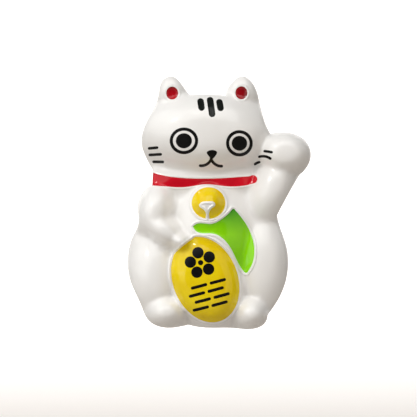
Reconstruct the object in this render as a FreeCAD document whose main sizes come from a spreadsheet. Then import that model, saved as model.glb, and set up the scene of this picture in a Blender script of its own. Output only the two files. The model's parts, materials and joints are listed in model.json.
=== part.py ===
import FreeCAD, Part
import math
import os
import Sketcher
from FreeCAD import Placement, Rotation, Vector

# A half-round metal pin badge of a beckoning cat: an enamelled casting, the enamel in its cells,
# the prints on its face, and on the back a tack post with a butterfly clutch.
# Frame: origin where the post's axis meets the badge's flat back, +Z up the cat's height,
# +Y out of the back along the post, so the relief faces -Y. Heights of the relief are measured
# from the back plane towards the viewer.

SIZES = {
    # relief
    "rim_thickness": 1.6,       # the casting at its outline
    "relief_blend": 0.17,       # how softly neighbouring forms run into each other
    "prism_length": 9.0,        # longer than the highest form
    "relief_depth": 14.0,       # thickness of the solid under the relief surface
    "enamel_sink": 0.12,        # enamel lies this far below its walls
    "ink_thickness": 0.05,
    # cell floors, above the back plane
    "ear_floor": 1.7,
    "stripe_floor": 2.4,
    "collar_floor": 1.9,
    "bell_floor": 2.9,
    "bib_floor": 2.3,
    "coin_floor": 2.7,
    "print_floor": 1.7,         # prints are cut from prisms that start here
    # tack post
    "post_radius": 0.55,
    "post_length": 8.0,
    "point_length": 1.1,
    "point_radius": 0.08,
    "near_groove": 1.0,         # where each groove starts, along the post
    "far_groove": 5.7,
    "groove_width": 0.7,
    "groove_depth": 0.2,
    "flange_radius": 1.5,
    "flange_thickness": 0.3,
    "recess_radius": 1.75,
    "solder_reach": 0.25,
    "solder_height": 0.12,
    # clutch
    "clutch_gap": 1.3,          # cloth room between the badge's back and the clutch
    "clutch_radius": 5.6,
    "clutch_rim": 1.25,
    "clutch_sheet": 0.35,
    "clutch_hole": 0.62,
    "rim_bend": 0.45,
    "lug_length": 2.4,
    "lug_reach": 0.55,
    # clutch wings
    "wing_sheet": 0.3,
    "wing_width": 4.6,
    "wing_gap": 0.04,           # between sheets that slide on each other
    "foot_reach": 2.7,          # from the post's axis to the bend
    "foot_end": 1.7,            # how far the foot runs past the post
    "wing_bend": 0.5,
    "wing_lean": 14.0,          # degrees outwards
    "blade_length": 3.4,
    "curl_radius": 0.55,
    "curl_turn": 120.0,         # degrees
    "blade_corner": 1.3,
    "squeeze": 0.35,            # travel of each wing
    "grip_gap": 0.02,
    "aperture_slack": 0.06,     # room left in the aperture when a wing is fully squeezed
}

# Rounded forms of the relief: centre x and z, half width, half height, height of the crown,
# lean to the right in degrees, and how flat the crown is.
FORMS = {
    "head": (-0.35, 5.7, 7.2, 4.4, 5.3, 0, 3.0),
    "left_ear": (-3.75, 9.5, 1.8, 2.2, 3.0, -4, 2.4),
    "right_ear": (3.15, 9.5, 1.8, 2.2, 3.0, 6, 2.4),
    "neck": (-0.6, 0.85, 7.2, 2.0, 3.1, 0, 2.4),
    "torso": (-0.25, -5.6, 7.7, 8.0, 3.0, 0, 3.5),
    "chest": (0.2, -4.7, 4.8, 6.6, 4.3, 0, 2.6),
    "bell": (-0.15, -1.3, 2.3, 2.2, 5.1, 0, 2.6),
    "coin": (-0.47, -8.8, 3.9, 5.1, 4.7, -21, 5.0),
    "left_shoulder": (-5.4, -2.1, 2.2, 3.1, 4.5, 12, 2.4),
    "left_forearm": (-4.4, -4.0, 3.3, 1.8, 4.9, 36, 2.4),
    "left_hand": (-2.9, -5.0, 1.5, 1.25, 5.2, 30, 2.4),
    "left_haunch": (-5.4, -8.2, 3.1, 4.7, 3.9, 0, 2.4),
    "left_foot": (-4.3, -12.0, 2.4, 1.9, 4.5, 0, 2.4),
    "right_haunch": (5.2, -7.3, 2.9, 5.2, 3.8, 0, 2.4),
    "right_foot": (4.1, -12.1, 2.0, 1.9, 4.5, 0, 2.4),
    "right_forearm": (6.2, 0.2, 2.5, 4.2, 4.2, 22, 2.2),
    "right_paw": (7.4, 3.7, 3.0, 2.4, 4.6, 0, 3.2),
}
FORM_WORDS = ("across", "up", "half_width", "half_height", "crown", "lean", "flatness")

# The grid the relief's surface is drawn through.
RELIEF_CORNER = (-10.0, -15.5)
RELIEF_STEP = 0.45
RELIEF_COUNTS = (48, 63)

# Outlines are (x, z) pairs in millimetres.
LEFT_HEAD = [(-2.01, 9.40), (-2.69, 10.31), (-3.83, 11.26), (-4.69, 10.87), (-5.05, 9.68),
             (-5.60, 8.01), (-6.48, 6.19), (-6.78, 4.72), (-6.39, 3.34), (-5.70, 2.01)]
LEFT_BODY = [(-5.72, 0.52), (-6.68, -0.28), (-7.14, -1.67), (-7.05, -3.14), (-7.68, -4.67),
             (-8.14, -6.58), (-7.92, -8.79), (-6.88, -11.20), (-6.04, -12.90), (-4.72, -13.54),
             (-3.24, -13.56), (-2.16, -13.37)]
RIGHT_SOLE = [(-2.16, -13.37), (-0.79, -13.60), (1.96, -13.67), (3.73, -13.75), (5.21, -13.34),
              (5.70, -12.33)]
RIGHT_BODY = [(5.70, -12.33), (6.73, -10.85), (7.62, -8.45), (7.62, -5.84), (6.84, -3.34),
              (6.63, -2.46)]
RIGHT_FOREARM = [(6.63, -2.46), (7.02, -1.69), (8.35, 0.69), (8.89, 1.54)]
RIGHT_PAW = [(8.89, 1.54), (9.75, 2.60), (9.95, 3.39), (9.41, 4.83), (8.10, 5.58), (5.99, 5.53)]
RIGHT_HEAD = [(5.99, 5.53), (5.50, 6.43), (4.91, 8.69), (4.17, 10.63), (3.27, 11.26), (2.36, 10.83),
              (1.57, 9.35)]
CROWN_MIDDLE = (-0.20, 9.44)

COLLAR_TOP = [(-6.30, 1.98), (-4.22, 1.37), (-1.96, 1.15), (1.18, 1.17), (3.98, 1.39)]
COLLAR_END = (4.64, 0.98)
COLLAR_BOTTOM = [(4.30, 0.66), (2.65, 0.36), (1.40, 0.38), (-0.29, 0.57), (-2.26, 0.31),
                 (-4.72, 0.39), (-6.30, 0.52)]

BELL_CENTRE = (-0.15, -1.28)
BELL_RADII = (1.65, 1.55)
BELL_SLIT = [(-1.06, -1.42), (-0.74, -1.17), (-0.15, -1.12), (0.40, -1.22), (0.50, -1.50),
             (0.22, -1.76), (-0.02, -2.05), (-0.10, -2.60), (-0.12, -3.20), (-0.42, -3.20),
             (-0.40, -2.60), (-0.48, -2.10), (-0.74, -1.84), (-1.00, -1.66)]

BIB_TOP = [(-1.67, -3.59), (-1.30, -3.31), (0.10, -3.32), (1.20, -2.82), (2.16, -1.93)]
BIB_SHOULDER = (2.30, -1.85)
BIB_SIDE = [(2.44, -1.95), (3.24, -2.90), (4.25, -5.06), (4.20, -7.07), (3.74, -8.00)]
BIB_TIP = (3.52, -8.16)
BIB_INSIDE = [(3.34, -8.04), (2.93, -7.47), (1.96, -5.60), (0.29, -4.29), (-1.28, -4.11),
              (-1.67, -3.59)]

COIN_CENTRE = (-0.47, -8.80)
COIN_RADII = (3.19, 4.35)
COIN_LEAN = -21.0
COIN_HAND = [(-5.20, -7.60), (-3.70, -6.48), (-2.75, -5.57), (-1.67, -4.76), (-1.10, -4.30),
             (-1.20, -3.00), (-5.20, -3.00)]

EAR_RADII = (0.59, 0.64)
EARS = {"left": (-3.73, 9.55), "right": (3.09, 9.58)}

STRIPE_WIDTH = 0.64
STRIPES = {
    "left": ((-0.93, 8.68), (-0.83, 8.03)),
    "middle": ((0.01, 8.82), (0.20, 7.40)),
    "right": ((0.92, 8.61), (1.03, 8.00)),
}

# Eye centre, then outer and inner radii of the ring, then the pupil's radii.
EYES = {
    "left": ((-2.55, 4.78), (1.39, 1.29), (1.08, 0.98), (0.785, 0.73)),
    "right": ((2.87, 4.55), (1.31, 1.27), (1.00, 0.96), (0.755, 0.715)),
}

NOSE = [(-0.28, 3.72), (0.02, 3.87), (0.38, 3.87), (0.67, 3.70), (0.46, 3.24), (0.16, 3.00),
        (-0.08, 3.24)]
MOUTH_WIDTH = 0.27
MOUTH = [((0.14, 3.06), (-0.26, 2.55), (-0.97, 2.38)),
         ((0.10, 3.06), (0.50, 2.52), (1.15, 2.34))]

WHISKERS = {
    "left": (0.27, [((-6.00, 4.10), (-5.20, 4.15)),
                    ((-5.95, 3.47), (-4.85, 3.50)),
                    ((-5.58, 2.80), (-4.66, 2.77))]),
    "right": (0.26, [((5.36, 3.81), (6.02, 3.69)),
                     ((4.86, 3.28), (5.35, 3.30), (5.90, 3.07)),
                     ((4.46, 2.57), (4.64, 2.68), (4.86, 2.75))]),
}

# The plain ornament printed on the coin: a five-petalled blossom over rows of short mat lines.
ORNAMENT_LEAN = -15.0
PETAL_COUNT = 5
PETAL_RADIUS = 0.56
PETAL_DISTANCE = 1.0
BLOSSOM_CORE = 0.26
BLOSSOM_RISE = 1.75
MAT_ROWS = 4
MAT_FIRST_ROW = -0.45
MAT_PITCH = 0.72
MAT_LINE_LENGTH = 1.35
MAT_LINE_WIDTH = 0.3
MAT_COLUMN = 0.95
MAT_SHIFT = 0.2

FIRST_GUESS = Vector(3, 3, 0)

document = FreeCAD.newDocument("BeckoningCatPin")
sheet = document.addObject("Spreadsheet::Sheet", "Sizes")
nodes = []


def fill_sheet():
    """Writes every driving size to the sheet, one named cell a row."""
    cells = dict(SIZES)
    for form, values in FORMS.items():
        for word, value in zip(FORM_WORDS, values):
            cells[f"{form}_{word}"] = value
    for row, (alias, value) in enumerate(cells.items(), start=1):
        sheet.set(f"A{row}", alias)
        sheet.set(f"B{row}", str(value))
        sheet.setAlias(f"B{row}", alias)
    document.recompute()


def size(alias):
    return float(sheet.get(alias))


def bind(target, links):
    """Binds each property of target to an expression of the sheet's cells."""
    for path, expression in links.items():
        target.setExpression(path, expression)


def node(result, label):
    """Marks an object as one of the badge's pieces, under the name of its file."""
    result.Label = label
    nodes.append(result)
    return result


def front(point):
    return Vector(point[0], 0, point[1])


# Flat shapes in the back plane

def spline(points):
    curve = Part.BSplineCurve()
    curve.interpolate([front(point) for point in points])
    return curve.toShape()


def closed_spline(points):
    curve = Part.BSplineCurve()
    curve.interpolate([front(point) for point in points], PeriodicFlag=True)
    return Part.Face(Part.Wire([curve.toShape()]))


def polyline(points):
    return [Part.makeLine(front(a), front(b)) for a, b in zip(points, points[1:])]


def arc(start, middle, end):
    return Part.Arc(start, middle, end).toShape()


def face_of(edges):
    return Part.Face(Part.Wire(Part.__sortEdges__(edges)))


def ellipse(centre, radii, lean=0.0):
    """An ellipse with its half width and half height, leaning right by so many degrees."""
    turned = Part.makeCircle(1.0, Vector(0, 0, 0), Vector(0, 1, 0))
    stretch = FreeCAD.Matrix()
    stretch.scale(radii[0], 1, radii[1])
    disc = Part.Face(Part.Wire([turned.transformGeometry(stretch).Edges[0]]))
    disc.Placement = Placement(front(centre), Rotation(Vector(0, 1, 0), lean))
    return disc


def stroke(points, width):
    """A pen stroke with round ends, straight through two points or an arc through three."""
    half = width / 2
    start, end = front(points[0]), front(points[-1])
    if len(points) == 2:
        middle = (start + end) / 2
        heading_start = (end - start).normalize()
        heading_end = heading_start
        side = heading_start.cross(Vector(0, 1, 0)) * half
        outer = [start + side, middle + side, end + side]
        inner = [start - side, middle - side, end - side]
        rails = [Part.makeLine(outer[0], outer[2]), Part.makeLine(inner[2], inner[0])]
    else:
        middle = front(points[1])
        centre = arc(start, middle, end).Curve.Center
        outer = [p + (p - centre).normalize() * half for p in (start, middle, end)]
        inner = [p - (p - centre).normalize() * half for p in (start, middle, end)]
        heading_start = (start - centre).normalize().cross(Vector(0, 1, 0))
        if heading_start.dot(middle - start) < 0:
            heading_start = -heading_start
        heading_end = (end - centre).normalize().cross(Vector(0, 1, 0))
        if heading_end.dot(end - middle) < 0:
            heading_end = -heading_end
        rails = [arc(*outer), arc(*reversed(inner))]
    caps = [arc(outer[2], end + heading_end * half, inner[2]),
            arc(inner[0], start - heading_start * half, outer[0])]
    return face_of([rails[0], caps[0], rails[1], caps[1]])


def silhouette_face():
    edges = [spline(LEFT_HEAD), *polyline([LEFT_HEAD[-1], LEFT_BODY[0]]), spline(LEFT_BODY),
             spline(RIGHT_SOLE), spline(RIGHT_BODY), spline(RIGHT_FOREARM), spline(RIGHT_PAW),
             spline(RIGHT_HEAD), arc(front(RIGHT_HEAD[-1]), front(CROWN_MIDDLE), front(LEFT_HEAD[0]))]
    return face_of(edges)


def collar_face():
    edges = [spline(COLLAR_TOP), arc(front(COLLAR_TOP[-1]), front(COLLAR_END), front(COLLAR_BOTTOM[0])),
             spline(COLLAR_BOTTOM), *polyline([COLLAR_BOTTOM[-1], COLLAR_TOP[0]])]
    return face_of(edges)


def bell_face():
    return ellipse(BELL_CENTRE, BELL_RADII).cut(closed_spline(BELL_SLIT))


def bib_face():
    edges = [spline(BIB_TOP), arc(front(BIB_TOP[-1]), front(BIB_SHOULDER), front(BIB_SIDE[0])),
             spline(BIB_SIDE), arc(front(BIB_SIDE[-1]), front(BIB_TIP), front(BIB_INSIDE[0])),
             spline(BIB_INSIDE)]
    return face_of(edges)


def coin_face():
    hand = face_of([spline(COIN_HAND[:5]), *polyline(COIN_HAND[4:] + COIN_HAND[:1])])
    return ellipse(COIN_CENTRE, COIN_RADII, COIN_LEAN).cut(hand)


def ornament_face():
    """The coin's print, drawn upright about the coin's centre and then leant with the coin."""
    pieces = [ellipse((0, BLOSSOM_RISE), (BLOSSOM_CORE, BLOSSOM_CORE))]
    for petal in range(PETAL_COUNT):
        angle = math.radians(90 + petal * 360 / PETAL_COUNT)
        centre = (PETAL_DISTANCE * math.cos(angle), BLOSSOM_RISE + PETAL_DISTANCE * math.sin(angle))
        pieces.append(ellipse(centre, (PETAL_RADIUS, PETAL_RADIUS)))
    for row in range(MAT_ROWS):
        height = MAT_FIRST_ROW - row * MAT_PITCH
        shift = MAT_SHIFT * (-1) ** row
        for column in (-MAT_COLUMN, MAT_COLUMN):
            left = (column + shift - MAT_LINE_LENGTH / 2, height)
            right = (column + shift + MAT_LINE_LENGTH / 2, height)
            pieces.append(stroke([left, right], MAT_LINE_WIDTH))
    drawing = Part.makeCompound(pieces)
    drawing.Placement = Placement(front(COIN_CENTRE), Rotation(Vector(0, 1, 0), ORNAMENT_LEAN))
    return drawing


# The relief

def form_height(form, rim, across, up):
    """Height of one rounded form, which meets the rim's level along its own outline."""
    centre_x, centre_z, half_width, half_height, crown, lean, flatness = form
    turn = math.radians(lean)
    along = (across - centre_x) * math.cos(turn) - (up - centre_z) * math.sin(turn)
    rise = (across - centre_x) * math.sin(turn) + (up - centre_z) * math.cos(turn)
    reach = math.hypot(along / half_width, rise / half_height)
    return rim + (crown - rim) * (1 - reach ** flatness)


def relief_height(forms, rim, blend, across, up):
    """The forms joined by a soft maximum, so that they flow into each other and the rim."""
    heights = [rim] + [form_height(form, rim, across, up) for form in forms]
    top = max(heights)
    return top + blend * math.log(sum(math.exp((height - top) / blend) for height in heights))


def relief_solid():
    """A deep block whose front is a smooth surface through a grid of relief heights."""
    forms = [[size(f"{form}_{word}") for word in FORM_WORDS] for form in FORMS]
    rim, blend = size("rim_thickness"), size("relief_blend")
    rows = []
    for column in range(RELIEF_COUNTS[0]):
        across = RELIEF_CORNER[0] + column * RELIEF_STEP
        row = []
        for step in range(RELIEF_COUNTS[1]):
            up = RELIEF_CORNER[1] + step * RELIEF_STEP
            row.append(Vector(across, -relief_height(forms, rim, blend, across, up), up))
        rows.append(row)
    surface = Part.BSplineSurface()
    surface.interpolate(rows)
    return Part.Face(surface).extrude(Vector(0, size("relief_depth"), 0))


def relief_copy(name, shape, level):
    """The solid under the relief, moved along Y by an expression of the sheet's cells."""
    copy = document.addObject("Part::Feature", name)
    copy.Shape = shape
    copy.Placement = Placement()
    if level:
        copy.setExpression("Placement.Base.y", level)
    return copy


def prism(name, face, floor=None):
    """A straight prism on a flat shape, from a floor height out past the highest form."""
    drawing = document.addObject("Part::Feature", name + "Outline")
    drawing.Shape = face
    result = document.addObject("Part::Extrusion", name + "Prism")
    result.Base = drawing
    result.DirMode = "Custom"
    result.Dir = Vector(0, -1, 0)
    result.Solid = True
    result.setExpression("LengthFwd", "Sizes.prism_length")
    if floor:
        result.setExpression("Placement.Base.y", f"-Sizes.{floor}")
    return result


def common(name, shapes):
    result = document.addObject("Part::MultiCommon", name)
    result.Shapes = shapes
    return result


def fuse(name, shapes):
    result = document.addObject("Part::MultiFuse", name)
    result.Shapes = shapes
    return result


def cut(name, base, tool):
    result = document.addObject("Part::Cut", name)
    result.Base = base
    result.Tool = tool
    return result


def cylinder(name, radius, height, links):
    """A cylinder about Y, with its radius and height bound to the sheet."""
    result = document.addObject("Part::Cylinder", name)
    result.Placement = Placement(Vector(0, 0, 0), Rotation(Vector(1, 0, 0), -90))
    bind(result, {"Radius": radius, "Height": height, **links})
    return result


def make_badge():
    """The casting, the enamel in its cells and the prints on it."""
    shape = relief_solid()
    relief = relief_copy("Relief", shape, None)
    enamel_relief = relief_copy("EnamelRelief", shape, "Sizes.enamel_sink")
    ink_relief = relief_copy("InkRelief", shape, "-Sizes.ink_thickness")
    coin_ink_relief = relief_copy("CoinInkRelief", shape, "Sizes.enamel_sink - Sizes.ink_thickness")
    silhouette = prism("Silhouette", silhouette_face())

    cells = {"collar_enamel": prism("Collar", collar_face(), "collar_floor"),
             "bell_enamel": prism("Bell", bell_face(), "bell_floor"),
             "bib_enamel": prism("Bib", bib_face(), "bib_floor"),
             "coin_enamel": prism("Coin", coin_face(), "coin_floor")}
    for side, centre in EARS.items():
        cells[f"ear_enamel_{side}"] = prism(f"Ear{side.title()}", ellipse(centre, EAR_RADII), "ear_floor")
    for place, ends in STRIPES.items():
        slot = prism(f"Stripe{place.title()}", stroke(ends, STRIPE_WIDTH), "stripe_floor")
        cells[f"forehead_stripe_{place}"] = slot

    recess = cylinder("Recess", "Sizes.recess_radius", "Sizes.flange_thickness",
                      {"Placement.Base.y": "-Sizes.flange_thickness"})
    blank = common("Blank", [silhouette, relief])
    hollows = fuse("Hollows", [*cells.values(), recess])
    node(cut("Casting", blank, hollows), "body_casting")
    for label, cell in cells.items():
        node(common(label.title().replace("_", ""), [cell, silhouette, enamel_relief]), label)

    for side, (centre, outer, inner, pupil) in EYES.items():
        ring = ellipse(centre, outer).cut(ellipse(centre, inner))
        make_print(f"eye_ring_{side}", ring, ink_relief, relief)
        make_print(f"pupil_{side}", ellipse(centre, pupil), ink_relief, relief)
    mouth = closed_spline(NOSE)
    for line in MOUTH:
        mouth = mouth.fuse(stroke(line, MOUTH_WIDTH))
    make_print("nose_and_mouth", mouth.removeSplitter(), ink_relief, relief)
    for side, (width, lines) in WHISKERS.items():
        drawing = Part.makeCompound([stroke(line, width) for line in lines])
        make_print(f"whiskers_{side}", drawing, ink_relief, relief)
    make_print("coin_print", ornament_face(), coin_ink_relief, enamel_relief)


def make_print(label, face, top, underside):
    """A film of ink between two copies of the relief."""
    name = label.title().replace("_", "")
    column = prism(name, face, "print_floor")
    node(cut(name, common(name + "Column", [column, top]), underside), label)


# Turned pieces: a sketch on the XY plane, turned about Y

def plane_of(body, role):
    return next(feature for feature in body.Origin.OriginFeatures if feature.Role == role)


def sketch_polygon(body, name, role, corners):
    """A closed sketch whose corners each have both coordinates bound to the sheet.

    The corners start out evenly round a circle clear of both axes; the constraints move them.
    """
    sketch = body.newObject("Sketcher::SketchObject", name)
    sketch.AttachmentSupport = (plane_of(body, role), [""])
    sketch.MapMode = "FlatFace"
    count = len(corners)
    guesses = []
    for index in range(count):
        angle = 2 * math.pi * index / count
        guesses.append(FIRST_GUESS + Vector(math.cos(angle), math.sin(angle), 0))
    for index in range(count):
        sketch.addGeometry(Part.LineSegment(guesses[index], guesses[(index + 1) % count]), False)
    for index in range(count):
        sketch.addConstraint(Sketcher.Constraint("Coincident", index, 2, (index + 1) % count, 1))
    for index, (across, up) in enumerate(corners):
        for kind, expression, axis in (("DistanceX", across, -2), ("DistanceY", up, -1)):
            if expression == "0":
                sketch.addConstraint(Sketcher.Constraint("PointOnObject", index, 1, axis))
                continue
            number = sketch.addConstraint(Sketcher.Constraint(kind, -1, 1, index, 1, 1.0 + index))
            sketch.setExpression(f"Constraints[{number}]", expression)
    document.recompute()
    return sketch


def revolve(body, name, sketch):
    turn = body.newObject("PartDesign::Revolution", name)
    turn.Profile = sketch
    turn.ReferenceAxis = (sketch, ["V_Axis"])
    turn.Angle = 360
    sketch.Visibility = False
    return turn


def make_post():
    body = document.addObject("PartDesign::Body", "TackPost")
    wall = "Sizes.post_radius"
    waist = "Sizes.post_radius - Sizes.groove_depth"
    corners = [("0", "-Sizes.flange_thickness"), ("Sizes.flange_radius", "-Sizes.flange_thickness"),
               ("Sizes.flange_radius", "0"), (wall, "0")]
    for start in ("Sizes.near_groove", "Sizes.far_groove"):
        corners += [(wall, start), (waist, f"{start} + Sizes.groove_width / 2"),
                    (wall, f"{start} + Sizes.groove_width")]
    corners += [(wall, "Sizes.post_length - Sizes.point_length"),
                ("Sizes.point_radius", "Sizes.post_length"), ("0", "Sizes.post_length")]
    revolve(body, "TackPostTurn", sketch_polygon(body, "TackPostProfile", "XY_Plane", corners))
    node(body, "tack_post")


def make_solder():
    body = document.addObject("PartDesign::Body", "Solder")
    corners = [("Sizes.flange_radius", "-Sizes.flange_thickness"),
               ("Sizes.recess_radius", "-Sizes.flange_thickness"),
               ("Sizes.recess_radius", "0"),
               ("Sizes.recess_radius + Sizes.solder_reach", "0"),
               ("(Sizes.flange_radius + Sizes.recess_radius) / 2", "Sizes.solder_height"),
               ("Sizes.flange_radius - Sizes.solder_reach", "0"),
               ("Sizes.flange_radius", "0")]
    revolve(body, "SolderTurn", sketch_polygon(body, "SolderProfile", "XY_Plane", corners))
    node(body, "solder_ring")


# The clutch

def make_clutch_base():
    """A stamped cup with a hole for the post and two lugs that hold the wings' feet down."""
    body = document.addObject("PartDesign::Body", "ClutchBase")
    seat = "Sizes.clutch_gap"
    floor = "Sizes.clutch_gap + Sizes.clutch_sheet"
    rim = "Sizes.clutch_gap + Sizes.clutch_rim"
    corners = [("Sizes.clutch_hole", seat), ("Sizes.clutch_radius", seat), ("Sizes.clutch_radius", rim),
               ("Sizes.clutch_radius - Sizes.clutch_sheet", rim),
               ("Sizes.clutch_radius - Sizes.clutch_sheet", floor), ("Sizes.clutch_hole", floor)]
    cup = revolve(body, "ClutchCup", sketch_polygon(body, "ClutchProfile", "XY_Plane", corners))
    document.recompute()

    stack = f"{floor} + 2 * Sizes.wing_sheet + 3 * Sizes.wing_gap"
    inside = "Sizes.wing_width / 2 + Sizes.wing_gap"
    outside = f"{inside} + Sizes.clutch_sheet"
    tip = f"{inside} - Sizes.lug_reach"
    inset = "Sizes.clutch_gap + Sizes.clutch_sheet / 2"
    lug_corners = [(inset, inside), (stack, inside), (stack, tip),
                   (f"{stack} + Sizes.wing_sheet", tip), (f"{stack} + Sizes.wing_sheet", outside),
                   (inset, outside)]
    lug = body.newObject("PartDesign::Pad", "ClutchLug")
    lug.Profile = sketch_polygon(body, "ClutchLugProfile", "YZ_Plane", lug_corners)
    lug.SideType = "Symmetric"
    lug.setExpression("Length", "Sizes.lug_length")
    document.recompute()
    pair = body.newObject("PartDesign::Mirrored", "ClutchLugPair")
    pair.Originals = [lug]
    pair.MirrorPlane = (plane_of(body, "XY_Plane"), [""])
    body.Tip = pair
    document.recompute()

    bend = body.newObject("PartDesign::Fillet", "ClutchRimBend")
    bend.Base = (pair, [outer_edge(pair.Shape, size("clutch_radius"), size("clutch_gap"))])
    bend.setExpression("Radius", "Sizes.rim_bend")
    body.Tip = bend
    node(body, "clutch_base")


def outer_edge(shape, radius, level):
    """The name of the circular edge with this radius at this height along Y."""
    for number, edge in enumerate(shape.Edges, start=1):
        ring = edge.Curve
        if isinstance(ring, Part.Circle) and abs(ring.Radius - radius) < 1e-4:
            if abs(ring.Center.y - level) < 1e-4:
                return f"Edge{number}"
    raise ValueError("no such edge")


def sector(name, inner, start, sweep, centre):
    """A bent stretch of wing sheet about Z: a ring sector of the wing's width.

    The first turn of one degree only sets the axis that the bound angle turns about.
    """
    rings = []
    for part, radius in (("Outer", f"{inner} + Sizes.wing_sheet"), ("Inner", inner)):
        ring = document.addObject("Part::Cylinder", name + part)
        ring.Placement.Rotation = Rotation(Vector(0, 0, 1), 1)
        bind(ring, {"Radius": radius, "Height": "Sizes.wing_width",
                    "Placement.Base.x": centre[0], "Placement.Base.y": centre[1],
                    "Placement.Base.z": "-Sizes.wing_width / 2"})
        rings.append(ring)
    bind(rings[0], {"Angle": sweep, "Placement.Rotation.Angle": start})
    return cut(name, *rings)


def sheet_box(name, length, width, height, corner):
    box = document.addObject("Part::Box", name)
    bind(box, {"Length": length, "Width": width, "Height": height, "Placement.Base.x": corner[0],
               "Placement.Base.y": corner[1], "Placement.Base.z": corner[2]})
    return box


def make_wing(side, turn, layer):
    """A spring leaf: a foot with an aperture round the post, a bend, a blade and a curled edge.

    It is drawn on the left of the post; the right one is turned half round the post, with its
    foot one layer up.
    """
    name = f"Wing{side.title()}"
    level = (f"Sizes.clutch_gap + Sizes.clutch_sheet + Sizes.wing_gap"
             f" + {layer} * (Sizes.wing_sheet + Sizes.wing_gap)")
    width = "Sizes.wing_width"
    half = f"-{width} / 2"
    foot = sheet_box(name + "Foot", "Sizes.foot_reach + Sizes.foot_end", "Sizes.wing_sheet", width,
                     ("-Sizes.foot_reach", level, half))
    bend_centre = ("-Sizes.foot_reach", f"{level} + Sizes.wing_sheet + Sizes.wing_bend")
    bend = sector(name + "Bend", "Sizes.wing_bend", "180 + Sizes.wing_lean", "90 - Sizes.wing_lean",
                  bend_centre)
    shoulder = "(Sizes.wing_bend + Sizes.wing_sheet)"
    length = f"(Sizes.blade_length - {layer} * (Sizes.wing_sheet + Sizes.wing_gap))"
    lean_cos = "cos(Sizes.wing_lean * 1 deg)"
    lean_sin = "sin(Sizes.wing_lean * 1 deg)"
    root = (f"{bend_centre[0]} - {shoulder} * {lean_cos}", f"{bend_centre[1]} - {shoulder} * {lean_sin}")
    blade = sheet_box(name + "Blade", "Sizes.wing_sheet", length, width, (*root, half))
    blade.Placement.Rotation = Rotation(Vector(0, 0, 1), 1)
    bind(blade, {"Placement.Rotation.Angle": "Sizes.wing_lean"})
    curl_centre = (f"{root[0]} - {length} * {lean_sin} - Sizes.curl_radius * {lean_cos}",
                   f"{root[1]} + {length} * {lean_cos} - Sizes.curl_radius * {lean_sin}")
    curl = sector(name + "Curl", "Sizes.curl_radius", "Sizes.wing_lean", "Sizes.curl_turn", curl_centre)
    strip = fuse(name + "Strip", [foot, bend, blade, curl])

    play = "Sizes.squeeze + Sizes.aperture_slack"
    aperture = sheet_box(name + "Aperture",
                         f"2 * (Sizes.post_radius + Sizes.grip_gap) + {play}",
                         "4 * Sizes.wing_sheet", "2 * Sizes.clutch_hole",
                         (f"-Sizes.post_radius - Sizes.grip_gap - ({play})",
                          f"{level} - Sizes.wing_sheet", "-Sizes.clutch_hole"))
    opened = cut(name + "Opened", strip, aperture)
    top = f"{curl_centre[1]} + Sizes.curl_radius + Sizes.wing_sheet"
    frame = sheet_box(name + "Frame", "4 * Sizes.foot_reach", top, width,
                      ("-3 * Sizes.foot_reach", "0", half))
    document.recompute()
    rounded = document.addObject("Part::Fillet", name + "Rounded")
    rounded.Base = frame
    corner = size("blade_corner")
    rounded.Edges = [(number, corner, corner) for number in top_edges(frame.Shape)]
    wing = node(common(name, [opened, rounded]), f"clutch_wing_{side}")
    wing.Placement = Placement(Vector(0, 0, 0), Rotation(Vector(0, 1, 0), turn))


def top_edges(shape):
    """Numbers of a box's two edges that run along X at its far end in Y."""
    far = shape.BoundBox.YMax
    numbers = []
    for number, edge in enumerate(shape.Edges, start=1):
        box = edge.BoundBox
        if abs(box.YMin - far) < 1e-6 and box.ZLength < 1e-6:
            numbers.append(number)
    return numbers


def check_and_write():
    document.recompute()
    for item in document.Objects:
        if "Invalid" in item.State or "Error" in item.State:
            raise RuntimeError(f"{item.Name} failed: {item.State}")
    os.makedirs("parts", exist_ok=True)
    for piece in nodes:
        if piece.Shape.isNull() or not piece.Shape.isValid() or piece.Shape.Volume <= 0:
            raise RuntimeError(f"{piece.Label} has no valid shape")
    for piece in nodes:
        piece.Shape.exportStep(f"parts/{piece.Label}.step")


fill_sheet()
make_badge()
make_post()
make_solder()
make_clutch_base()
make_wing("left", 0, 0)
make_wing("right", 180, 1)
check_and_write()
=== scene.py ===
import json
import math

import bpy
import bmesh
import numpy as np
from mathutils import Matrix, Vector
from mathutils.bvhtree import BVHTree
from mathutils.geometry import delaunay_2d_cdt


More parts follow.
